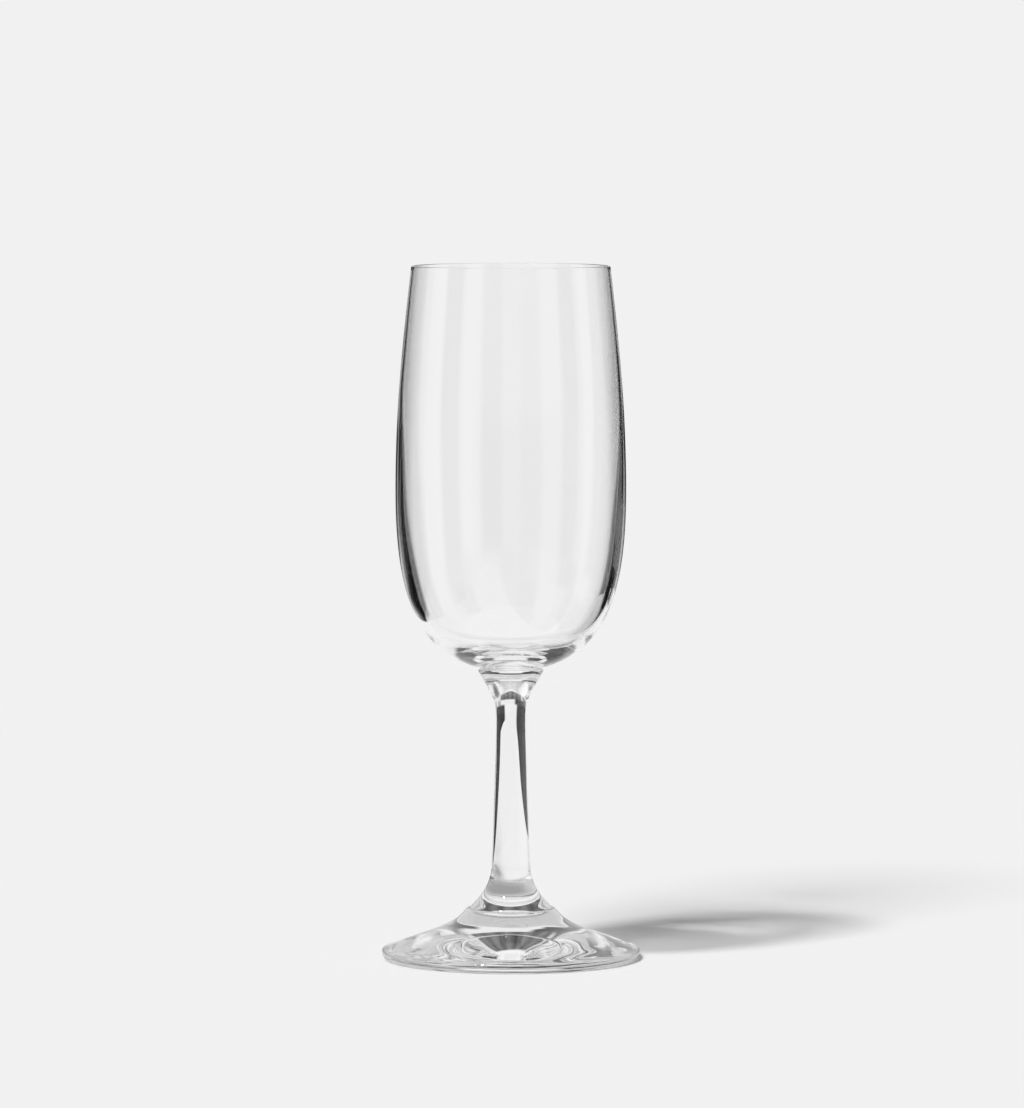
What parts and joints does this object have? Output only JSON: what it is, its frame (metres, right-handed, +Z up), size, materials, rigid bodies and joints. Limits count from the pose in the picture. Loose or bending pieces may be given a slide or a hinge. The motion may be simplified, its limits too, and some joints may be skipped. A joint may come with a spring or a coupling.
{
  "type": "champagne glass",
  "caption": "Clear champagne glass: a tall bowl that narrows to its rim, on a slim flared stem and a low conical foot. Holds a sparkling drink and stands on a table.",
  "frame": {"origin": "on the table, at the centre of the flat ring that the foot stands on", "axes": "+Z is up along the axis of the glass; the glass is round, so X and Y are free, and the picture looks along +Y with +X to the right"},
  "size_m": [0.0658, 0.0658, 0.1767],
  "materials": {
    "clear_glass": "colourless soda-lime glass, fire-polished, smooth and glossy all over"
  },
  "bodies": {
    "root": {"bowl": "clear_glass", "stem": "clear_glass", "foot": "clear_glass"}
  },
  "joints": []
}
